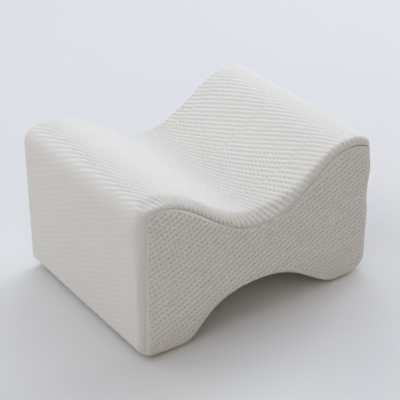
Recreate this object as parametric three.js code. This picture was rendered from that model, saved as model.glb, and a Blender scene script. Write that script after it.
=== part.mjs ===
// A knee cushion shaped like an hourglass: a firm filled body in a knitted band, with a panel sewn on at
// each end.
// Millimetres, +Z up. X runs across the two lobes, Y along the depth, and the front end faces -Y.
// The origin lies under the middle of the cushion, on the surface that its two feet rest on.

import * as THREE from 'three';

// Overall sizes.
const END_WIDTH = 250; // across the flat sides, measured at the ends
const DEPTH = 184; // from end to end, measured at the seams
const MID_HEIGHT = 72; // height of the middle line that the outline is measured from
const SADDLE_RISE = 35; // middle line up to the bottom of the saddle
const ARCH_DROP = 38; // middle line down to the roof of the arch
const SWELL = 1; // how far the sides and top stand out halfway along the depth
const LEVEL_TILT = 0.67; // the downward part of a surface's normal past which it doesn't swell

// The end outline, one row for each lobe, measured from the middle line.
// frontX, backX, frontZ, backZ: the lobe's crest or foot at the two ends.
// level: width of the level strip there. innerPull, outerPull: reach of the curve on its two sides.
// waistPull: reach of the curve at the waist. sideZ: end of the flat side. sidePull: its reach to the corner.
const LOBES = {
  topLeft: {
    frontX: 107, backX: 103.5, frontZ: 77.5, backZ: 74.5, level: 4,
    innerPull: 38, outerPull: 11, waistPull: 41, sideZ: 57, sidePull: 14.5,
  },
  topRight: {
    frontX: 97.5, backX: 101.5, frontZ: 72.5, backZ: 74, level: 4,
    innerPull: 35, outerPull: 10, waistPull: 45.5, sideZ: 55, sidePull: 12,
  },
  lowLeft: {
    frontX: 91.5, backX: 91.5, frontZ: MID_HEIGHT, backZ: MID_HEIGHT, level: 14,
    innerPull: 29, outerPull: 9, waistPull: 68, sideZ: 57, sidePull: 10,
  },
  lowRight: {
    frontX: 97.5, backX: 97.5, frontZ: MID_HEIGHT, backZ: MID_HEIGHT, level: 14,
    innerPull: 26.5, outerPull: 8.5, waistPull: 53, sideZ: 57.5, sidePull: 10,
  },
};

// The band's rolled end edge and the seam, each with its size at the lobes and at the waist.
const EDGE_RADIUS = { lobe: 5.2, waist: 12 };
const SEAM_INSET = { lobe: 6.6, waist: 13.3 };
const WAIST_REACH = 85; // half-width over which the waist's size fades into the lobe's

// The end panels.
const PANEL_THICKNESS = 2;
const PANEL_CROWN = 1.4; // how far the panel's middle stands out past its rim
const SEAM_GAP = 0.3; // clearance between the panel and the body

// Sections across the seam: past is the distance inwards from the seam, depth the distance behind the end.
// The body's lip runs from the floor of the panel's recess out to the end face.
const BODY_LIP = [
  { past: 0, depth: PANEL_THICKNESS + SEAM_GAP },
  { past: -0.25, depth: 0.8 },
  { past: -1, depth: 0.1 },
];
// The panel's rim runs from its outer face down into the seam and round to its inner face.
const PANEL_RIM = [
  { past: SEAM_GAP + 2.2, depth: 0 },
  { past: SEAM_GAP + 0.55, depth: 0.6 },
  { past: SEAM_GAP, depth: 1.2 },
  { past: SEAM_GAP, depth: PANEL_THICKNESS },
];

// Steps of the faceted surfaces.
const SLOPE_STEPS = 11;
const CORNER_STEPS = 6;
const COLUMNS = 2 * (SLOPE_STEPS + 1 + CORNER_STEPS); // across the end, from side to side
const ROWS = 8; // up the end, from underside to top
const EDGE_STEPS = 5;
const LENGTH_STEPS = 4;
const RIM_POINTS = 2 * (COLUMNS + ROWS);

const KNIT_COLOUR = 0xd9d7d4;
const PANEL_COLOUR = 0xd3d0cc;

function mix(from, to, share) {
  return from + (to - from) * share;
}

function curvePoints(corners, steps) {
  const [start, pullStart, pullEnd, end] = corners.map(([x, z]) => new THREE.Vector2(x, z));
  return new THREE.CubicBezierCurve(start, pullStart, pullEnd, end).getPoints(steps);
}

// One lobe of the outline, from the waist over the crest and round the corner to the flat side.
function lobePoints(lobe, waistZ, along) {
  const crestX = mix(lobe.frontX, lobe.backX, along);
  const crestZ = mix(lobe.frontZ, lobe.backZ, along);
  const inner = crestX - lobe.level / 2;
  const outer = crestX + lobe.level / 2;
  const side = END_WIDTH / 2;
  const sideTop = lobe.sideZ + lobe.sidePull;
  const slope = curvePoints(
    [[0, waistZ], [lobe.waistPull, waistZ], [inner - lobe.innerPull, crestZ], [inner, crestZ]],
    SLOPE_STEPS,
  );
  const corner = curvePoints(
    [[outer, crestZ], [outer + lobe.outerPull, crestZ], [side, sideTop], [side, lobe.sideZ]],
    CORNER_STEPS,
  );
  return [...slope, ...corner];
}

// The flat side between two corners, without its ends.
function sidePoints(fromZ, toZ) {
  const points = [];
  for (let step = 1; step < ROWS; step += 1) {
    points.push(new THREE.Vector2(END_WIDTH / 2, mix(fromZ, toZ, step / ROWS)));
  }
  return points;
}

function flipped(points, signX, signZ) {
  return points.map((point) => new THREE.Vector2(point.x * signX, point.y * signZ));
}

// The whole outline as a ring, anticlockwise from the lower left, at a share of the depth from the front.
function outline(along) {
  const topLeft = flipped(lobePoints(LOBES.topLeft, SADDLE_RISE, along), -1, 1);
  const topRight = lobePoints(LOBES.topRight, SADDLE_RISE, along);
  const lowLeft = flipped(lobePoints(LOBES.lowLeft, ARCH_DROP, along), -1, -1);
  const lowRight = flipped(lobePoints(LOBES.lowRight, ARCH_DROP, along), 1, -1);
  return [
    ...lowLeft.reverse(),
    ...lowRight.slice(1),
    ...sidePoints(-LOBES.lowRight.sideZ, LOBES.topRight.sideZ),
    ...topRight.reverse(),
    ...topLeft.slice(1),
    ...flipped(sidePoints(LOBES.topLeft.sideZ, -LOBES.lowLeft.sideZ), -1, 1),
  ];
}

function outwardNormals(ring) {
  return ring.map((point, index) => {
    const before = ring[(index + RIM_POINTS - 1) % RIM_POINTS];
    const after = ring[(index + 1) % RIM_POINTS];
    return new THREE.Vector2(after.y - before.y, before.x - after.x).normalize();
  });
}

// A size that fades from its value at the waist to its value at the lobes.
function sizeAt(size, x) {
  const nearness = 0.5 + 0.5 * Math.cos(Math.PI * Math.min(Math.abs(x) / WAIST_REACH, 1));
  return mix(size.lobe, size.waist, nearness);
}

// The sides and the top swell in full, and what faces down more steeply than LEVEL_TILT stays level.
function swellShare(normal) {
  return Math.max(0, Math.min(1, 1 + normal.y / LEVEL_TILT));
}

// A ring of the solid at the depth y, drawn in from the outline by insetAt(x).
function ringAt(y, insetAt) {
  const along = y / DEPTH + 0.5;
  const points = outline(along);
  const normals = outwardNormals(points);
  const swell = SWELL * (1 - (2 * along - 1) ** 2);
  return points.map((point, index) => {
    const normal = normals[index];
    const offset = swell * swellShare(normal) - insetAt(point.x);
    return new THREE.Vector3(
      point.x + normal.x * offset,
      y,
      MID_HEIGHT + point.y + normal.y * offset,
    );
  });
}

// For one end, -1 the front and 1 the back, a function that makes its rings: each is drawn in from the
// end's outline by insetAt(x), and lies depthAt(x) behind the end.
function ringMaker(end) {
  return (insetAt, depthAt) => {
    const outer = outline((end + 1) / 2);
    const ring = ringAt((end * DEPTH) / 2, insetAt);
    ring.forEach((point, index) => {
      point.y -= end * depthAt(outer[index].x);
    });
    return ring;
  };
}

const makeFrontRing = ringMaker(-1);
const makeBackRing = ringMaker(1);

// Place of a rim point of the end grid in the ring's order.
function rimIndex(column, row) {
  if (row === 0) {
    return column;
  }
  if (column === COLUMNS) {
    return COLUMNS + row;
  }
  if (row === ROWS) {
    return 2 * COLUMNS + ROWS - column;
  }
  return RIM_POINTS - row;
}

// A smooth hill over the end grid: none at the rim, 1 in the middle.
function crownShare(point, ring, row) {
  const halfWidth = ring[rimIndex(COLUMNS, row)].x;
  const up = (2 * row) / ROWS - 1;
  return (1 - (point.x / halfWidth) ** 8) * (1 - up ** 4);
}

// A point inside a ring, blended from the four stretches of its rim.
function blendedPoint(ring, column, row) {
  const across = column / COLUMNS;
  const up = row / ROWS;
  const rim = (c, r) => ring[rimIndex(c, r)];
  const point = new THREE.Vector3();
  point.addScaledVector(rim(column, 0), 1 - up);
  point.addScaledVector(rim(column, ROWS), up);
  point.addScaledVector(rim(0, row), 1 - across);
  point.addScaledVector(rim(COLUMNS, row), across);
  point.addScaledVector(rim(0, 0), -(1 - across) * (1 - up));
  point.addScaledVector(rim(COLUMNS, 0), -across * (1 - up));
  point.addScaledVector(rim(0, ROWS), -(1 - across) * up);
  point.addScaledVector(rim(COLUMNS, ROWS), -across * up);
  return point;
}

// The places of an end grid's points in the solid: its rim is a ring that starts at firstIndex, and its
// inner points are added to the solid's own.
function endGrid(points, ring, firstIndex, crown) {
  const grid = [];
  for (let column = 0; column <= COLUMNS; column += 1) {
    grid.push([]);
    for (let row = 0; row <= ROWS; row += 1) {
      if (column % COLUMNS === 0 || row % ROWS === 0) {
        grid[column].push(firstIndex + rimIndex(column, row));
      } else {
        const point = blendedPoint(ring, column, row);
        point.y += crown * crownShare(point, ring, row);
        grid[column].push(points.push(point) - 1);
      }
    }
  }
  return grid;
}

// Joins rings, given from front to back, into one closed solid, with a crowned grid over each end.
function closedSolid(rings, frontCrown, backCrown) {
  const points = rings.flat();
  const faces = [];
  const addQuad = (a, b, c, d) => {
    faces.push(a, b, c, a, c, d);
  };
  const lastIndex = (rings.length - 1) * RIM_POINTS;
  for (let here = 0; here < lastIndex; here += RIM_POINTS) {
    const beyond = here + RIM_POINTS;
    for (let index = 0; index < RIM_POINTS; index += 1) {
      const next = (index + 1) % RIM_POINTS;
      addQuad(here + index, beyond + index, beyond + next, here + next);
    }
  }
  const front = endGrid(points, rings[0], 0, frontCrown);
  const back = endGrid(points, rings[rings.length - 1], lastIndex, backCrown);
  for (let column = 0; column < COLUMNS; column += 1) {
    for (let row = 0; row < ROWS; row += 1) {
      addQuad(front[column][row], front[column + 1][row], front[column + 1][row + 1], front[column][row + 1]);
      addQuad(back[column][row], back[column][row + 1], back[column + 1][row + 1], back[column + 1][row]);
    }
  }
  const geometry = new THREE.BufferGeometry();
  const coordinates = points.flatMap((point) => point.toArray());
  geometry.setAttribute('position', new THREE.Float32BufferAttribute(coordinates, 3));
  geometry.setIndex(faces);
  geometry.computeVertexNormals();
  return geometry;
}

// The rings that follow a section across the seam.
function seamRings(makeRing, section) {
  return section.map(({ past, depth }) => makeRing((x) => sizeAt(SEAM_INSET, x) + past, () => depth));
}

// The rings of the band's rolled edge, from the end face round to the band's outer side.
function edgeRings(makeRing) {
  const rings = [];
  for (let step = 0; step <= EDGE_STEPS; step += 1) {
    const turn = (Math.PI / 2) * (1 - step / EDGE_STEPS);
    rings.push(makeRing(
      (x) => sizeAt(EDGE_RADIUS, x) * (1 - Math.cos(turn)),
      (x) => sizeAt(EDGE_RADIUS, x) * (1 - Math.sin(turn)),
    ));
  }
  return rings;
}

function bodyGeometry() {
  const front = [...seamRings(makeFrontRing, BODY_LIP), ...edgeRings(makeFrontRing)];
  const back = [...seamRings(makeBackRing, BODY_LIP), ...edgeRings(makeBackRing)];
  const middle = [];
  for (let step = 1; step < LENGTH_STEPS; step += 1) {
    middle.push(ringAt(mix(-DEPTH / 2, DEPTH / 2, step / LENGTH_STEPS), () => 0));
  }
  return closedSolid([...front, ...middle, ...back.reverse()], -PANEL_CROWN, PANEL_CROWN);
}

function frontPanelGeometry() {
  return closedSolid(seamRings(makeFrontRing, PANEL_RIM), -PANEL_CROWN, -PANEL_CROWN);
}

function backPanelGeometry() {
  return closedSolid(seamRings(makeBackRing, PANEL_RIM).reverse(), PANEL_CROWN, PANEL_CROWN);
}

function addPiece(group, name, geometry, colour) {
  const material = new THREE.MeshStandardMaterial({ color: colour, roughness: 0.95, metalness: 0 });
  const mesh = new THREE.Mesh(geometry, material);
  mesh.name = name;
  group.add(mesh);
}

const kneePillow = new THREE.Group();
addPiece(kneePillow, 'band', bodyGeometry(), KNIT_COLOUR);
addPiece(kneePillow, 'front_panel', frontPanelGeometry(), PANEL_COLOUR);
addPiece(kneePillow, 'back_panel', backPanelGeometry(), PANEL_COLOUR);

export default kneePillow;
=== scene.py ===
import math

import bpy
import numpy as np
from mathutils import Matrix, Vector


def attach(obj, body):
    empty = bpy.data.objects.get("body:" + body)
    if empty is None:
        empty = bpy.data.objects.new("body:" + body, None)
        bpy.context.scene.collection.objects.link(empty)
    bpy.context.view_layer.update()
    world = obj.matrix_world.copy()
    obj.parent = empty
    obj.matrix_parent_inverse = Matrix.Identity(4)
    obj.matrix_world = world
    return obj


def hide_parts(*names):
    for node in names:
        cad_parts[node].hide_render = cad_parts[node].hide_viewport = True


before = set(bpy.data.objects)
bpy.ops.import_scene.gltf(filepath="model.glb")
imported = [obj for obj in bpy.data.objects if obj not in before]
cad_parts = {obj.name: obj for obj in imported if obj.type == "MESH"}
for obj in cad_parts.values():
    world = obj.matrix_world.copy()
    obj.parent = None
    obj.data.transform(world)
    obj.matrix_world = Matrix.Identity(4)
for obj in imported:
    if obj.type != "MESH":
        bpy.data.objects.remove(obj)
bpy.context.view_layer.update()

# Sizes are in millimetres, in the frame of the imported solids, and become metres where a mesh is made. The
# saddle's rise and the arch's drop are measured from MID_HEIGHT, and the saddle is SADDLE_FALL lower in
# front than at the back. Halfway along, the body swells by SWELL, less where it faces down, and not at all
# past LEVEL_TILT.
MM = 0.001
END_WIDTH = 250
DEPTH = 184
MID_HEIGHT = 72
SADDLE_RISE = 35
SADDLE_FALL = 3.5
ARCH_DROP = 35.6
SWELL = 1.0
LEVEL_TILT = 0.67

# The end outline, one row for each lobe, measured from the middle line: the crest or foot at the front and
# at the back end, the level strip there, the reach of the curves beside it and at the waist, and the side.
LOBES = {
    "top_left": dict(
        front_x=107, back_x=103.5, front_z=77.5, back_z=74.5, level=4,
        inner_pull=38, outer_pull=11, waist_pull=41, side_z=57, side_pull=14.5,
    ),
    "top_right": dict(
        front_x=97.5, back_x=101.5, front_z=72.5, back_z=74, level=4,
        inner_pull=35, outer_pull=10, waist_pull=45.5, side_z=55, side_pull=12,
    ),
    "low_left": dict(
        front_x=91.5, back_x=91.5, front_z=MID_HEIGHT, back_z=MID_HEIGHT, level=14,
        inner_pull=29, outer_pull=7, waist_pull=62, side_z=57, side_pull=8,
    ),
    "low_right": dict(
        front_x=97.5, back_x=97.5, front_z=MID_HEIGHT, back_z=MID_HEIGHT, level=14,
        inner_pull=26.5, outer_pull=7, waist_pull=48, side_z=57.5, side_pull=8.5,
    ),
}
SLOPE_POINTS, CORNER_POINTS = 90, 61

# Below, a size that comes about softly stands as (size, start, end), for grown(), and one that is greatest
# at one place as (size, middle, width), for hump(). Places are distances in x or heights over the middle.

# The arch stands a little to the left.
ARCH_SHIFT = (2.5, 0, 48)

# Sizes round the end edge: over the top and under the body at the left lobe, the waist and the right lobe,
# and at the left and right side. SEAM is the seam's distance in from the outline. What is added to it
# follows: along the left side for each millimetre of height, high and halfway up the right side, and low at
# the left.
SEAM = dict(top=(6.8, 9.6, 7.8), sides=(6.7, 3.6), under=(3.6, 2.8, 3.2))
SEAM_LEAN = 0.025
SEAM_HIGH_RIGHT = (2.6, 34, 58)
SEAM_MID_RIGHT = (1.8, 13, 15)
SEAM_LOW_LEFT = (-2.5, 104, 118)
SEAM_SMOOTHINGS = 3

# ROLL is how far from the end the band begins to roll over the edge, and HIGH_LEFT_ROLL what is added high on
# the left side. TURN is how far round it turns, in degrees, over the share BEND of the roll, SLOPE_TURN how
# much further on the left slope from SLOPE_TURN_START, and TUCK from TUCK_START to the seam. It never turns
# more than MOST_TURN. The waist's sizes reach as far as WAIST_REACH. A side's sizes come in as the outline's
# outward normal turns from OUTWARD_FROM to OUTWARD_TO.
ROLL_FRONT = dict(top=(17, 14, 5), sides=(5.4, 9), under=(13, 7, 13))
ROLL_BACK = dict(top=(5.5, 9, 5.5), sides=(5.5, 5.5), under=(8, 7, 8))
HIGH_LEFT_ROLL = (7, 12, 42)
TURN = dict(top=(13, 26, 118), sides=(120, 50), under=(35, 35, 35))
BEND = dict(top=(0.5, 0.4, 1.45), sides=(1.5, 0.5), under=(0.3, 0.3, 0.3))
TUCK = dict(top=(70, 60, 0), sides=(0, 0), under=(0, 0, 0))
TUCK_START = 0.86
SLOPE_TURN = 46
SLOPE_TURN_START = 0.1
MOST_TURN = 92
WAIST_REACH = 85
OUTWARD_FROM, OUTWARD_TO = 0.25, 0.95

# The left slope of the saddle, where the band is gathered, and the right lobe, where the seam stands open.
LEFT_SLOPE = (1, -47, 32)
OPEN_SEAM = (1, 10, 50)

# The end is drawn in over each foot: by how much, in which place, how wide, and up to which height over the
# floor. On the band this fades out over FOOT_DRAW_DEPTH from the end.
FOOT_DRAW = ((0.8, -102, 15, 32), (0.4, 100, 16, 24))
FOOT_DRAW_DEPTH = 24

# Sections across the seam: distance inwards past the seam, and depth behind the end. The band's lip starts
# where its roll ends. On the right lobe it has a slight bead and an open groove, and the panel's edge lies
# OPEN_GAP further in. Elsewhere the groove is TIGHT times as wide. The panel's rim is a soft welt, as proud
# of the end as PROUD says at its flattest and at its highest places. These are the left slope, PROUD_SLOPE,
# and the left side where both PROUD_LOW and PROUD_LEFT are high.
RECESS = 2.3
BAND_LIP = [
    (-1.7, 0.0), (-1.3, -0.22), (-1.0, -0.45), (-0.8, -0.4), (-0.55, 0.1), (-0.35, 0.9), (-0.15, 1.6),
    (0.0, RECESS),
]
TIGHT = 0.25
OPEN_GAP = 0.4
PANEL_RIM = [
    (0.3, 2.0), (0.14, 1.3), (0.1, 0.8), (0.14, 0.4), (0.3, 0.02), (0.65, -0.4), (1.15, -0.72),
    (1.9, -0.88), (2.6, -0.9),
]
PROUD = (0.2, 2.8)
PROUD_SLOPE = (1, -60, 32)
PROUD_LOW = (1, -45, 30)
PROUD_LEFT = (1, 105, 120)

# The panel's crown, which falls off towards its sides and, sooner, towards its top and bottom.
PANEL_CROWN = 2.2
CROWN_ACROSS, CROWN_UP = 8, 3

# The knit: rows of dimples between raised ribs. Each wave has a period and a direction in the cloth, and
# each cloth its heights of the rib, of the dimple and of the two together.
RIB_PERIOD = 4.85
RIB_ANGLE = math.radians(115)
DIMPLE_PERIOD = 3.92
DIMPLE_ANGLE = math.radians(16)
RIB_WAVE = np.array([math.cos(RIB_ANGLE), math.sin(RIB_ANGLE)]) / RIB_PERIOD
DIMPLE_WAVE = np.array([math.cos(DIMPLE_ANGLE), math.sin(DIMPLE_ANGLE)]) / DIMPLE_PERIOD
BAND_KNIT = (0.56, 0.06, 0.08)
PANEL_KNIT = (0.57, 0.14, 0.135)

# The knit wanders a little where it was stretched over the foam. Each direction of the cloth has two slow
# waves, with their size, their lengths in both directions and where they start.
WANDER = (
    ((1.1, 31, 47, 0.4), (0.7, -60, 23, 0)),
    ((1.2, 37, -41, 2.1), (0.6, 19, 70, 0)),
)

# How much of the knit shows on the band. Cloth stretched plain takes some away: at the sides, and close to an
# end on the right lobe, on the left lobe and underneath. The gathers add to the ribs and take from the
# dimples. Where the underside faces the floor, the relief fades out over REST_FADE above REST_HEIGHT.
SIDE_PLAIN = (0.8, 108, 122)
RIGHT_END_PLAIN = (0.1, 0, 40)
LEFT_END_PLAIN = (0.6, 85, 110)
UNDER_END_PLAIN = 0.5
END_PLAIN_DEPTH = (3, 9)
RIBS = 1.5
RIBS_MORE = ((0.7, -5, 25), (0.5, -72, 18))
RIBS_LESS = (0.7, 5, 60)
DIMPLES = 0.5
DIMPLES_MORE = (0.5, -60, -20)
DIMPLES_LESS = (1, 35, 60)
GATHER_DEPTH = (5, 20)
GATHERED_RIBS = 1.7
GATHERED_DIMPLES = -0.5
REST_HEIGHT, REST_FADE = 0.2, 1.5
FACING_DOWN = -0.9

# Mesh steps. An end grid has ACROSS columns and UP rows, and the ring round it 2 * (ACROSS + UP) points.
BAND_ACROSS, BAND_UP, BAND_ROWS, BAND_ROLL = 216, 84, 119, 12
PANEL_ACROSS, PANEL_UP = 396, 180
COARSE = 12


def eased(value, start, end):
    """0 before start, 1 after end and a soft change between them."""
    t = np.clip((value - start) / (end - start), 0, 1)
    return t * t * (3 - 2 * t)


def grown(value, size, start, end):
    """A size that comes about softly between start and end."""
    return size * eased(value, start, end)


def hump(value, size, middle, width, power=2):
    """A size at the middle, with a soft fall to 0 on both sides."""
    return size * np.exp(-(((value - middle) / width) ** power))


def cubic(start, pull_start, pull_end, end, count):
    """Points on a cubic curve."""
    t = np.linspace(0, 1, count)[:, None]
    start, pull_start, pull_end, end = (np.array(p, float) for p in (start, pull_start, pull_end, end))
    return (
        (1 - t) ** 3 * start
        + 3 * t * (1 - t) ** 2 * pull_start
        + 3 * t**2 * (1 - t) * pull_end
        + t**3 * end
    )


def lobe_curve(name, waist_z, along, flip):
    """One lobe from the waist to the middle of its corner, and from there to the flat side."""
    lobe = LOBES[name]
    crest_x = lobe["front_x"] + (lobe["back_x"] - lobe["front_x"]) * along
    crest_z = lobe["front_z"] + (lobe["back_z"] - lobe["front_z"]) * along
    inner, outer = crest_x - lobe["level"] / 2, crest_x + lobe["level"] / 2
    side, side_z = END_WIDTH / 2, lobe["side_z"]
    slope = cubic(
        (0, waist_z), (lobe["waist_pull"], waist_z),
        (inner - lobe["inner_pull"], crest_z), (inner, crest_z), SLOPE_POINTS,
    )
    corner = cubic(
        (outer, crest_z), (outer + lobe["outer_pull"], crest_z),
        (side, side_z + lobe["side_pull"]), (side, side_z), CORNER_POINTS,
    )
    middle = len(corner) // 2
    to_corner = np.concatenate([slope, corner[: middle + 1]]) * flip
    to_side = corner[middle:] * flip
    return to_corner, to_side


def spaced(line, count):
    """count + 1 points at equal distances along a line of points."""
    reach = np.concatenate([[0], np.cumsum(np.linalg.norm(np.diff(line, axis=0), axis=1))])
    wanted = np.linspace(0, reach[-1], count + 1)
    return np.stack([np.interp(wanted, reach, line[:, axis]) for axis in range(2)], 1)


def outward(ring):
    """Unit normals of a ring that runs anticlockwise."""
    step = np.roll(ring, -1, axis=0) - np.roll(ring, 1, axis=0)
    return np.stack([step[:, 1], -step[:, 0]], 1) / np.linalg.norm(step, axis=1)[:, None]


def outline(along, across, up):
    """The outline as a ring that starts under the waist and runs to the right, and the distance along it,
    counted from the saddle's bottom towards the left lobe. along is 0 in front and 1 at the back."""
    saddle_z = SADDLE_RISE - SADDLE_FALL * (1 - along)
    top_right, right_top = lobe_curve("top_right", saddle_z, along, (1, 1))
    top_left, left_top = lobe_curve("top_left", saddle_z, along, (-1, 1))
    low_right, right_low = lobe_curve("low_right", ARCH_DROP, along, (1, -1))
    low_left, left_low = lobe_curve("low_left", ARCH_DROP, along, (-1, -1))
    under = spaced(np.concatenate([low_left[::-1], low_right[1:]]), across)
    right = spaced(np.concatenate([right_low, right_top[::-1]]), up)
    top = spaced(np.concatenate([top_right[::-1], top_left[1:]]), across)
    left = spaced(np.concatenate([left_top, left_low[::-1]]), up)
    half = across // 2
    ring = np.concatenate([under[half:-1], right[:-1], top[:-1], left[:-1], under[:half]])
    ring[:, 0] -= hump(ring[:, 0], *ARCH_SHIFT) * (ring[:, 1] < 0)
    closed = np.concatenate([ring, ring[:1]])
    reach = np.concatenate([[0], np.cumsum(np.linalg.norm(np.diff(closed, axis=0), axis=1))])
    saddle = half + up + int(np.argmin(np.abs(top[:, 0])))
    return ring, reach - reach[saddle]


def size_at(size, x):
    """A size that fades from its value at the waist to its value at the left or the right lobe."""
    nearness = 0.5 + 0.5 * np.cos(np.pi * np.minimum(np.abs(x) / WAIST_REACH, 1))
    return np.where(x < 0, size[0], size[2]) * (1 - nearness) + size[1] * nearness


def turned_out(ring):
    """0 over the top and under the body, 1 at the two sides, and a soft change round the corners."""
    return eased(outward(ring)[:, 0] * np.sign(ring[:, 0]), OUTWARD_FROM, OUTWARD_TO)


def around(ring, top, sides, under):
    """A size round the outline, from its sizes over the top, at the two sides and underneath."""
    x, z = ring[:, 0], ring[:, 1]
    level = np.where(z > 0, size_at(top, x), size_at(under, x))
    corner = turned_out(ring)
    return level * (1 - corner) + np.where(x < 0, *sides) * corner


def roll_around(ring, along):
    """How far from the end the band's roll begins, between its sizes at the front and at the back end."""
    high_left = grown(ring[:, 1], *HIGH_LEFT_ROLL) * turned_out(ring) * (ring[:, 0] < 0)
    return (around(ring, **ROLL_FRONT) + high_left) * (1 - along) + around(ring, **ROLL_BACK) * along


def seam_ring(ring):
    """The seam in x and z. On the left it runs straight down to the lower edge, as the cloth is cut."""
    x, z = ring[:, 0], ring[:, 1]
    left_x = SEAM["sides"][0] + SEAM_LEAN * z - END_WIDTH / 2
    right = grown(z, *SEAM_HIGH_RIGHT) + hump(z, *SEAM_MID_RIGHT, power=4)
    leaning = np.where(x < 0, SEAM_LEAN * z, right)
    inset = around(ring, **SEAM) + leaning * turned_out(ring)
    low_left = size_at(SEAM["under"], x) + grown(-x, *SEAM_LOW_LEFT)
    inset = np.where((z < 0) & (x < 0), low_left, inset)
    seam = ring - outward(ring) * inset[:, None]
    past_side = (seam[:, 1] < 0) & (seam[:, 0] < left_x)
    seam[past_side, 0] = left_x[past_side]
    for _ in range(SEAM_SMOOTHINGS):
        seam = (np.roll(seam, 1, axis=0) + 2 * seam + np.roll(seam, -1, axis=0)) / 4
    return seam


def open_seam(ring):
    """1 over the right lobe, where the seam stands open, and 0 elsewhere."""
    return grown(ring[:, 0], *OPEN_SEAM) * (ring[:, 1] > 0) * (1 - turned_out(ring))


def left_slope(ring):
    """1 on the left slope of the saddle, where the band is gathered, and 0 elsewhere."""
    return hump(ring[:, 0], *LEFT_SLOPE) * (ring[:, 1] > 0)


def drawn_in(points):
    """How far the end's cloth is drawn in over each foot."""
    return sum(
        hump(points[..., 0], size, middle, width) * (1 - eased(points[..., 2], 0, height))
        for size, middle, width, height in FOOT_DRAW
    )


def ring_points(flat, depth):
    """Points in space from a ring in x and z."""
    return np.stack([flat[:, 0], np.broadcast_to(depth, len(flat)), MID_HEIGHT + flat[:, 1]], 1)


def warped(cloth):
    """The cloth's own coordinates, with the knit's wander."""
    p, q = cloth[..., 0], cloth[..., 1]
    places = []
    for place, waves in zip((p, q), WANDER):
        for size, p_length, q_length, start in waves:
            place = place + size * np.sin(p / p_length + q / q_length + start)
        places.append(place)
    return np.stack(places, -1)


def knit_height(cloth, heights, ribs, dimples):
    """The cloth's relief: ribs that stand up between rows of dimples. ribs and dimples say how much of each
    shows."""
    rib = 2 * np.pi * (cloth @ RIB_WAVE)
    dimple = 2 * np.pi * (cloth @ DIMPLE_WAVE)
    small = heights[1] * np.cos(dimple) + heights[2] * np.cos(rib + dimple)
    return -heights[0] * np.cos(rib) * ribs - small * dimples


def grid_normals(points):
    """Outward normals of a grid of points whose columns go round the outline and whose rows go back."""
    along = np.gradient(points, axis=0)
    across = np.roll(points, -1, axis=1) - np.roll(points, 1, axis=1)
    normals = np.cross(along, across)
    return normals / np.maximum(np.linalg.norm(normals, axis=-1, keepdims=True), 1e-9)


class MeshMaker:
    """Collects points, faces and each face corner's place in the cloth, all in millimetres."""

    def __init__(self):
        self.points, self.faces, self.corners = [], [], []
        self.shares = {"ribs": [], "dimples": []}
        self.count = 0

    def add_points(self, points, ribs=0.0, dimples=0.0):
        """Adds points, with how much of the ribs and the dimples shows there, and returns their numbers."""
        first = self.count
        self.points.append(points.reshape(-1, 3))
        self.shares["ribs"].append(np.broadcast_to(ribs, points.shape[:-1]).ravel())
        self.shares["dimples"].append(np.broadcast_to(dimples, points.shape[:-1]).ravel())
        self.count += len(self.points[-1])
        return first + np.arange(len(self.points[-1])).reshape(points.shape[:-1])

    def add_faces(self, faces, corners):
        self.faces.append(faces)
        self.corners.append(corners)

    def add_grid(self, index, cloth, turned=False):
        """Quads between the points of an index grid, with the cloth's place at each."""
        quads, places = [], []
        for grid, kept in ((index, quads), (cloth, places)):
            sides = [grid[:-1, :-1], grid[1:, :-1], grid[1:, 1:], grid[:-1, 1:]]
            if turned:
                sides.reverse()
            kept.append(np.stack(sides, 2))
        self.add_faces(quads[0].reshape(-1, 4), places[0].reshape(-1, 4, 2))

    def to_object(self, name):
        """A smooth mesh object in metres, with the cloth's coordinates as a UV map."""
        points = np.concatenate(self.points) * MM
        loops = np.concatenate([np.asarray(f).reshape(-1) for f in self.faces])
        sizes = np.concatenate([np.full(len(f), np.asarray(f).shape[1]) for f in self.faces])
        places = np.concatenate([np.asarray(c).reshape(-1, 2) for c in self.corners]) * MM
        mesh = bpy.data.meshes.new(name)
        mesh.vertices.add(len(points))
        mesh.vertices.foreach_set("co", points.astype(np.float32).ravel())
        mesh.loops.add(len(loops))
        mesh.loops.foreach_set("vertex_index", loops.astype(np.int32))
        mesh.polygons.add(len(sizes))
        starts = np.concatenate([[0], np.cumsum(sizes)[:-1]])
        mesh.polygons.foreach_set("loop_start", starts.astype(np.int32))
        uv = mesh.uv_layers.new(name="cloth")
        uv.data.foreach_set("uv", places.astype(np.float32).ravel())
        # The shares of the ribs and the dimples, which the material also uses to scale its painted shade in
        # the hollows.
        for key, shares in self.shares.items():
            attribute = mesh.attributes.new(key, "FLOAT", "POINT")
            attribute.data.foreach_set("value", np.concatenate(shares).astype(np.float32))
        mesh.update(calc_edges=True)
        mesh.validate()
        mesh.shade_smooth()
        piece = bpy.data.objects.new(name, mesh)
        bpy.context.collection.objects.link(piece)
        return piece


def rim_place(column, row, across, up):
    """Where a rim point of an end grid stands in the ring that starts under the waist."""
    half = across // 2
    count = 2 * (across + up)
    on_right = half + row
    on_top = half + up + (across - column)
    on_left = half + up + across + (up - row)
    under = (column - half) % count
    above = np.where(column == across, on_right, np.where(row == up, on_top, on_left))
    return np.where(row == 0, under, above)


def blended(ring, across, up):
    """A grid of points inside a ring, blended from the four stretches of its rim."""
    columns, rows = np.arange(across + 1), np.arange(up + 1)
    low = ring[rim_place(columns, np.zeros_like(columns), across, up)][:, None]
    high = ring[rim_place(columns, np.full_like(columns, up), across, up)][:, None]
    left = ring[rim_place(np.zeros_like(rows), rows, across, up)][None]
    right = ring[rim_place(np.full_like(rows, across), rows, across, up)][None]
    u = (columns / across)[:, None, None]
    v = (rows / up)[None, :, None]
    corners = (1 - u) * (1 - v) * low[0] + u * (1 - v) * low[-1]
    corners = corners + (1 - u) * v * high[0] + u * v * high[-1]
    return (1 - v) * low + v * high + (1 - u) * left + u * right - corners


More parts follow.
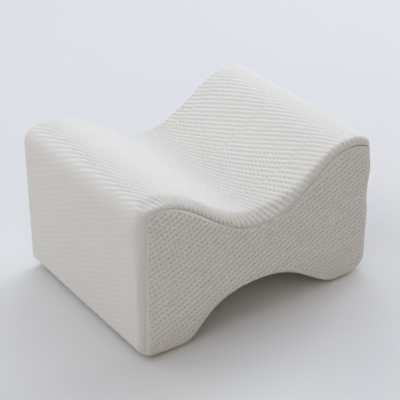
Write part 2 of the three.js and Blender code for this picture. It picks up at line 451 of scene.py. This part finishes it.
def add_coarse_cap(maker, ring_index, ring, across, up, faces_back):
    """A flat, coarse grid that closes a ring and shares its fine rim."""
    grid = blended(ring, across, up)
    column, row = np.meshgrid(np.arange(across + 1), np.arange(up + 1), indexing="ij")
    on_rim = (column % across == 0) | (row % up == 0)
    kept = (column % COARSE == 0) & (row % COARSE == 0) & ~on_rim
    index = np.full(column.shape, -1)
    index[on_rim] = ring_index[rim_place(column, row, across, up)[on_rim]]
    index[kept] = maker.add_points(grid[kept])
    for c in range(0, across, COARSE):
        for r in range(0, up, COARSE):
            walk = [(c + k, r) for k in range(COARSE)]
            walk += [(c + COARSE, r + k) for k in range(COARSE)]
            walk += [(c + COARSE - k, r + COARSE) for k in range(COARSE)]
            walk += [(c, r + COARSE - k) for k in range(COARSE)]
            face = [index[at] for at in walk if index[at] >= 0]
            if faces_back:
                face.reverse()
            maker.add_faces(np.array([face]), np.zeros((1, len(face), 2)))


def band_end(end):
    """The rows of the band's end, from the bottom of the seam's pocket to where the roll meets the body."""
    along = (end + 1) / 2
    ring, _ = outline(along, BAND_ACROSS, BAND_UP)
    seam = seam_ring(ring)
    inwards = -outward(seam)
    roll = roll_around(ring, along)
    width = (TIGHT + (1 - TIGHT) * open_seam(ring))[:, None]
    shoulder = seam + BAND_LIP[0][0] * inwards * width
    rows = []
    for past, depth in BAND_LIP[:0:-1]:
        depth = depth if depth > 0 else depth * open_seam(ring)
        rows.append(ring_points(seam + past * inwards * width, end * (DEPTH / 2 - depth)))

    # The roll, walked from the body to the seam: it turns over the bend, stays, and turns again at the tuck
    walked = np.linspace(0, 1, BAND_ROLL + 1)[:, None]
    turn = np.radians(around(ring, **TURN)) * eased(walked / around(ring, **BEND), 0, 1)
    turn = turn + np.radians(around(ring, **TUCK)) * eased(walked, TUCK_START, 1)
    turn = turn + np.radians(SLOPE_TURN * left_slope(ring)) * eased(walked, SLOPE_TURN_START, 1)
    turn = np.minimum(turn, math.radians(MOST_TURN))
    middle = (turn[1:] + turn[:-1]) / 2
    still = np.zeros((1, len(ring)))
    inner = np.concatenate([still, np.cumsum(np.sin(middle), axis=0)])
    outer = np.concatenate([still, np.cumsum(np.cos(middle), axis=0)])
    for share, run in zip((inner / inner[-1])[::-1], (outer / outer[-1])[::-1]):
        flat = ring + share[:, None] * (shoulder - ring)
        rows.append(ring_points(flat, end * (DEPTH / 2 - roll * (1 - run))))
    return rows


def knit_shares(points, ring):
    """How much of the ribs and the dimples shows on the band: little on the stretched sides, none in the
    seams, and strong ribs in the gathers where it rolls over the left slope of the saddle."""
    x, z = ring[:, 0], ring[:, 1]
    body = 1 - grown(np.abs(x), *SIDE_PLAIN)
    depth = DEPTH / 2 - np.abs(points[..., 1])
    gathered = left_slope(ring) * (1 - eased(depth, *GATHER_DEPTH))
    plain = np.where(z > 0, grown(x, *RIGHT_END_PLAIN) + grown(-x, *LEFT_END_PLAIN), UNDER_END_PLAIN)
    faded = 1 - plain * (1 - eased(depth, *END_PLAIN_DEPTH))
    lip = eased(np.arange(len(points)), len(BAND_LIP) - 2, len(BAND_LIP) + 1)
    shown = body * faded * (lip * lip[::-1])[:, None]
    ribs = RIBS - grown(x, *RIBS_LESS)
    for more in RIBS_MORE:
        ribs = ribs + hump(x, *more)
    dimples = DIMPLES + grown(x, *DIMPLES_MORE) * (1 - grown(x, *DIMPLES_LESS))
    ribs = shown * (ribs + GATHERED_RIBS * gathered)
    dimples = shown * dimples * (1 + GATHERED_DIMPLES * gathered)
    return ribs, dimples


def make_band():
    """The filled body in its knitted band: rolled end edges, a lip down into each seam, and the knit."""
    rows = band_end(-1)
    rows_at_end = len(rows)
    reaches = []
    for step in range(1, BAND_ROWS):
        along = step / BAND_ROWS
        ring, reach = outline(along, BAND_ACROSS, BAND_UP)
        normals = outward(ring)
        start = roll_around(ring, 0) - DEPTH / 2
        stop = DEPTH / 2 - roll_around(ring, 1)
        swell = SWELL * (1 - (2 * along - 1) ** 2) * np.clip(1 + normals[:, 1] / LEVEL_TILT, 0, 1)
        rows.append(ring_points(ring + normals * swell[:, None], start + (stop - start) * along))
        reaches.append(reach)
    rows += band_end(1)[::-1]
    points = np.array(rows)

    # The cloth's coordinates: the way along the band's rows, counted from its middle, and the way round it
    steps = np.linalg.norm(np.diff(points, axis=0), axis=2)
    run = np.concatenate([np.zeros((1, points.shape[1])), np.cumsum(steps, axis=0)])
    run -= run[len(run) // 2]
    run = np.concatenate([run, run[:, :1]], 1)
    reach = np.array([reaches[0]] * rows_at_end + reaches + [reaches[-1]] * rows_at_end)
    cloth = warped(np.stack([run, reach], 2))

    near_end = 1 - eased(DEPTH / 2 - np.abs(points[..., 1]), 0, FOOT_DRAW_DEPTH)
    points[..., 1] -= np.sign(points[..., 1]) * drawn_in(points) * near_end
    ribs, dimples = knit_shares(points, outline(0.5, BAND_ACROSS, BAND_UP)[0])
    normals = grid_normals(points)
    resting = np.clip(1 - (points[..., 2] - REST_HEIGHT) / REST_FADE, 0, 1)
    off_floor = 1 - resting * (normals[..., 2] < FACING_DOWN)
    ribs, dimples = ribs * off_floor, dimples * off_floor
    points = points + normals * knit_height(cloth[:, :-1], BAND_KNIT, ribs, dimples)[..., None]
    points[..., 2] = np.maximum(points[..., 2], 0)

    maker = MeshMaker()
    index = maker.add_points(points, ribs, dimples)
    maker.add_grid(np.concatenate([index, index[:, :1]], 1), cloth)
    add_coarse_cap(maker, index[0], points[0], BAND_ACROSS, BAND_UP, faces_back=False)
    add_coarse_cap(maker, index[-1], points[-1], BAND_ACROSS, BAND_UP, faces_back=True)
    return maker.to_object("band_knit")


def make_panel(name, end):
    """An end panel: an inner face, a rounded rim down in the seam, and a crowned outer face in knit."""
    ring, _ = outline((end + 1) / 2, PANEL_ACROSS, PANEL_UP)
    x, z = ring[:, 0], ring[:, 1]
    seam = seam_ring(ring)
    inwards = -outward(seam)
    on_slope = hump(x, *PROUD_SLOPE) * (z > 0)
    low_left = hump(z, *PROUD_LOW) * grown(-x, *PROUD_LEFT)
    proud = PROUD[0] + (PROUD[1] - PROUD[0]) * np.maximum(on_slope, low_left)
    seam = seam + OPEN_GAP * open_seam(ring)[:, None] * inwards
    rings = [
        ring_points(seam + past * inwards, end * (DEPTH / 2 - (depth if depth > 0 else depth * proud)))
        for past, depth in PANEL_RIM
    ]

    # The outer face, crowned and drawn in over the feet, and its knit, which fades out at the rim
    face = blended(rings[-1], PANEL_ACROSS, PANEL_UP)
    up = np.linspace(-1, 1, PANEL_UP + 1)[None]
    across = np.abs(face[..., 0]) / np.where(face[..., 0] > 0, face[-1:, :, 0], -face[:1, :, 0])
    height = (face[:, -1:, 2] - face[:, :1, 2]) / (2 * MID_HEIGHT)
    crown = (1 - np.clip(across, 0, 1) ** CROWN_ACROSS) * (1 - np.abs(up) ** CROWN_UP)
    crown = crown * np.clip(height, 0, 1)
    face[..., 1] += end * (PANEL_CROWN * crown - drawn_in(face))
    for points in rings:
        points[:, 1] -= end * drawn_in(points)
    cloth = warped(np.stack([-end * face[..., 0], face[..., 2] - MID_HEIGHT], -1))
    column, row = np.meshgrid(np.arange(PANEL_ACROSS + 1), np.arange(PANEL_UP + 1), indexing="ij")
    from_rim = np.minimum(np.minimum(column, PANEL_ACROSS - column), np.minimum(row, PANEL_UP - row))
    share = np.clip(from_rim / 2, 0, 1)
    face[..., 1] += end * knit_height(cloth, PANEL_KNIT, share, share)

    maker = MeshMaker()
    rim = maker.add_points(np.array(rings))
    on_rim = from_rim == 0
    index = np.full(column.shape, -1)
    index[on_rim] = rim[-1][rim_place(column, row, PANEL_ACROSS, PANEL_UP)[on_rim]]
    index[~on_rim] = maker.add_points(face[~on_rim], share[~on_rim], share[~on_rim])
    maker.add_grid(index, cloth, turned=end > 0)
    rim_cloth = warped(np.array([np.stack([-end * r[:, 0], r[:, 2] - MID_HEIGHT], 1) for r in rings]))
    wrapped = np.concatenate([rim, rim[:, :1]], 1)
    maker.add_grid(wrapped, np.concatenate([rim_cloth, rim_cloth[:, :1]], 1), turned=end < 0)
    add_coarse_cap(maker, rim[0], rings[0], PANEL_ACROSS, PANEL_UP, faces_back=end < 0)
    return maker.to_object(name)


class Nodes:
    """Small helpers for a material's node tree."""

    def __init__(self, material):
        self.tree = material.node_tree

    def add(self, kind, **inputs):
        node = self.tree.nodes.new(kind)
        for key, value in inputs.items():
            self.put(node.inputs[key], value)
        return node

    def put(self, socket, value):
        if isinstance(value, bpy.types.NodeSocket):
            self.tree.links.new(value, socket)
        else:
            socket.default_value = value

    def math(self, operation, first, second=0.0):
        node = self.tree.nodes.new("ShaderNodeMath")
        node.operation = operation
        self.put(node.inputs[0], first)
        self.put(node.inputs[1], second)
        return node.outputs[0]

    def wave(self, place, direction):
        """Cosine of a wave over the cloth, with direction in waves per millimetre."""
        dot = self.tree.nodes.new("ShaderNodeVectorMath")
        dot.operation = "DOT_PRODUCT"
        self.put(dot.inputs[0], place)
        turn = 2 * math.pi / MM
        dot.inputs[1].default_value = (direction[0] * turn, direction[1] * turn, 0)
        return self.math("COSINE", dot.outputs["Value"])

    def attribute(self, name):
        node = self.tree.nodes.new("ShaderNodeAttribute")
        node.attribute_name = name
        return node.outputs["Fac"]

    def weighed(self, values, weights):
        """The sum of values times weights."""
        total = 0.0
        for value, weight in zip(values, weights):
            total = self.math("ADD", total, self.math("MULTIPLY", value, weight))
        return total

    def noise(self, place, scale, detail):
        node = self.add("ShaderNodeTexNoise", Vector=place, Scale=scale, Detail=detail)
        return node.outputs[0]

    def ramped(self, value, low, high):
        """0 below low, 1 above high and a soft change between them."""
        node = self.tree.nodes.new("ShaderNodeMapRange")
        node.interpolation_type = "SMOOTHSTEP"
        self.put(node.inputs["Value"], value)
        node.inputs["From Min"].default_value = low
        node.inputs["From Max"].default_value = high
        return node.outputs["Result"]

    def mixed(self, share, first, second):
        """A colour between two colours."""
        node = self.tree.nodes.new("ShaderNodeMix")
        node.data_type = "RGBA"
        self.put(node.inputs[0], share)
        self.put(node.inputs[6], first)
        self.put(node.inputs[7], second)
        return node.outputs[2]


# The cloth's colour, and the darker colour of the painted shade in its hollows, which comes in by the share
# below where the waves' sum goes through the range below. Fine stitches run in two directions, in waves per
# millimetre. The bump's heights are in millimetres, and those of KNIT_BUMPS belong to the rib, the dimple and
# the two together.
# The off-white cloth, and the darker colour of the painted shade in its hollows.
OFF_WHITE, PAINTED_HOLLOW_SHADE = (0.80, 0.79, 0.77), (0.60, 0.585, 0.56)
HOLLOW_SHADE_RANGE = (0.05, 0.95)
HOLLOW_SHADE_SHARE = 0.75
STITCH_WAVE = np.array([0.42, 1.05])
CROSS_STITCH_WAVE = np.array([1.18, -0.36])
STITCH_HEIGHT, FUZZ_HEIGHT = 0.035, 0.06
KNIT_BUMPS = (0.06, 0.07, 0.07)
BLOTCH_SCALE, BLOTCH_DETAIL, BLOTCH_SHADE = 38.0, 3.0, 0.965
FUZZ_SCALE, FUZZ_DETAIL = 1400.0, 2.0


def knit_material(name, shade_weights):
    """Off-white knit: painted shade in the dimples and between the ribs, fine stitches, slight unevenness of
    tone and a soft sheen. The second argument gives the weights of the rib, of the dimple and of the two
    together in the painted shade."""
    material = bpy.data.materials.new(name)
    material.use_nodes = True
    nodes = Nodes(material)
    shader = nodes.tree.nodes["Principled BSDF"]
    uv = nodes.tree.nodes.new("ShaderNodeUVMap")
    uv.uv_map = "cloth"
    place = uv.outputs["UV"]
    rib = nodes.math("MULTIPLY", nodes.wave(place, RIB_WAVE), nodes.attribute("ribs"))
    shown = nodes.attribute("dimples")
    dimple = nodes.math("MULTIPLY", nodes.wave(place, DIMPLE_WAVE), shown)
    both = nodes.math("MULTIPLY", nodes.wave(place, RIB_WAVE + DIMPLE_WAVE), shown)
    # Painted shade: where the rib and dimple waves dip, the colour is darkened as if shade fell in the knit's
    # hollows.
    hollow_shade = nodes.ramped(nodes.weighed((rib, dimple, both), shade_weights), *HOLLOW_SHADE_RANGE)
    stitches = nodes.math("MULTIPLY", nodes.wave(place, STITCH_WAVE), nodes.wave(place, CROSS_STITCH_WAVE))
    blotch = nodes.noise(place, BLOTCH_SCALE, BLOTCH_DETAIL)
    fuzz = nodes.noise(place, FUZZ_SCALE, FUZZ_DETAIL)
    base = nodes.mixed(blotch, (*OFF_WHITE, 1), tuple(c * BLOTCH_SHADE for c in OFF_WHITE) + (1,))
    # The painted shade in the hollows is mixed into the base colour here.
    base = nodes.mixed(nodes.math("MULTIPLY", hollow_shade, HOLLOW_SHADE_SHARE), base, (*PAINTED_HOLLOW_SHADE, 1))
    nodes.put(shader.inputs["Base Color"], base)
    shader.inputs["Roughness"].default_value = 0.95
    shader.inputs["Specular IOR Level"].default_value = 0.15
    shader.inputs["Sheen Weight"].default_value = 0.2
    shader.inputs["Sheen Roughness"].default_value = 0.6
    heights = (*(-b for b in KNIT_BUMPS), STITCH_HEIGHT, FUZZ_HEIGHT)
    height = nodes.weighed((rib, dimple, both, stitches, fuzz), heights)
    bump = nodes.add("ShaderNodeBump", Height=height)
    bump.inputs["Strength"].default_value = 1.0
    bump.inputs["Distance"].default_value = MM
    nodes.put(shader.inputs["Normal"], bump.outputs["Normal"])
    return material


band = make_band()
front_panel = make_panel("front_panel_knit", -1)
back_panel = make_panel("back_panel_knit", 1)
ribbed = knit_material("ribbed_knit", (0.62, 0.19, 0.19))
dimpled = knit_material("dimpled_knit", (0.48, 0.23, 0.22))
for piece, node, slot, knit in (
    (band, "band", "band_knit", ribbed),
    (front_panel, "front_panel", "panel_knit", dimpled),
    (back_panel, "back_panel", "panel_knit", dimpled),
):
    piece.data.materials.append(knit)
    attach(piece, "root")
    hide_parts(node)

# A wide, plain floor, in metres
FLOOR_REACH = 10.0
FLOOR_COLOUR = (0.70, 0.71, 0.72)


def plain_material(name, colour, roughness):
    material = bpy.data.materials.new(name)
    material.use_nodes = True
    shader = material.node_tree.nodes["Principled BSDF"]
    shader.inputs["Base Color"].default_value = (*colour, 1)
    shader.inputs["Roughness"].default_value = roughness
    shader.inputs["Specular IOR Level"].default_value = 0.2
    return material


def make_floor():
    corners = [(x * FLOOR_REACH, y * FLOOR_REACH, 0) for x, y in ((-1, -1), (1, -1), (1, 1), (-1, 1))]
    mesh = bpy.data.meshes.new("floor")
    mesh.from_pydata(corners, [], [(0, 1, 2, 3)])
    floor = bpy.data.objects.new("floor", mesh)
    bpy.context.collection.objects.link(floor)
    mesh.materials.append(plain_material("pale_floor", FLOOR_COLOUR, 0.9))


# The camera, as fitted to the photograph: it looks CAMERA_AZIMUTH degrees to the right of +Y, and down. Its
# steps and its distance are in metres.
CAMERA_AZIMUTH = 35.88
CAMERA_DOWN = 30.58
CAMERA_ROLL = 0.16
CAMERA_DISTANCE = 1.10736
CAMERA_SIDE_STEP = 0.00163
CAMERA_UP_STEP = 0.00077
FOCAL_PIXELS = 1223.5
IMAGE_PIXELS = 400
MIDDLE = Vector((0, 0, MID_HEIGHT * MM))


def camera_axes():
    """The camera's right, up and forward directions."""
    turn, down = math.radians(CAMERA_AZIMUTH), math.radians(CAMERA_DOWN)
    forward = Vector((math.sin(turn) * math.cos(down), math.cos(turn) * math.cos(down), -math.sin(down)))
    right = Vector((math.cos(turn), -math.sin(turn), 0))
    roll = Matrix.Rotation(math.radians(-CAMERA_ROLL), 3, forward)
    return roll @ right, roll @ right.cross(forward), forward


def make_camera():
    right, up, forward = camera_axes()
    place = MIDDLE - CAMERA_DISTANCE * forward + CAMERA_SIDE_STEP * right + CAMERA_UP_STEP * up
    data = bpy.data.cameras.new("camera")
    data.lens = FOCAL_PIXELS / IMAGE_PIXELS * data.sensor_width
    camera = bpy.data.objects.new("camera", data)
    camera.matrix_world = Matrix.Translation(place) @ Matrix((right, up, -forward)).transposed().to_4x4()
    bpy.context.collection.objects.link(camera)
    bpy.context.scene.camera = camera


# Soft studio lights. Each has its side, in degrees clockwise from straight behind the object as the camera
# sees it, its height angle, its size in metres, and its power in red, green and blue.
LIGHT_DISTANCE = 2.2
LIGHTS = {
    "window_right": (45, 25, 1.4, (21.0, 18.9, 21.0)),
    "window_back": (15, 52, 1.4, (11.0, 14.0, 13.2)),
    "window_back_left": (-15, 52, 1.4, (7.1, 6.9, 8.7)),
    "window_left": (-75, 25, 1.4, (14.2, 12.0, 9.8)),
    "left": (-90, 52, 1.4, (3.4, 4.5, 5.9)),
    "front_left": (-135, 52, 1.4, (8.2, 9.3, 10.4)),
    "ceiling": (0, 89, 1.6, (5.2, 5.0, 5.6)),
    "room": (180, 52, 1.4, (7.2, 6.3, 5.5)),
    "room_low": (180, 25, 1.4, (3.7, 3.0, 1.7)),
    "room_right": (110, 25, 1.4, (4.5, 3.9, 3.6)),
}
WORLD_LIGHT = (0.02, 0.02, 0.022)


def make_light(name, side, height, size, power):
    """A square soft light that looks at the middle of the object."""
    turn, rise = math.radians(CAMERA_AZIMUTH + side), math.radians(height)
    flat = math.cos(rise)
    direction = Vector((math.sin(turn) * flat, math.cos(turn) * flat, math.sin(rise)))
    data = bpy.data.lights.new(name, "AREA")
    data.size = size
    data.energy = max(power)
    data.color = [p / max(power) for p in power]
    light = bpy.data.objects.new(name, data)
    light.location = MIDDLE + LIGHT_DISTANCE * direction
    light.rotation_euler = direction.to_track_quat("Z", "Y").to_euler()
    bpy.context.collection.objects.link(light)


def make_lights():
    world = bpy.data.worlds.new("studio")
    bpy.context.scene.world = world
    world.use_nodes = True
    background = world.node_tree.nodes["Background"]
    background.inputs["Color"].default_value = (*WORLD_LIGHT, 1)
    background.inputs["Strength"].default_value = 1
    for name, (side, height, size, power) in LIGHTS.items():
        make_light(name, side, height, size, power)


make_floor()
make_camera()
make_lights()
bpy.context.scene.view_settings.view_transform = "Standard"
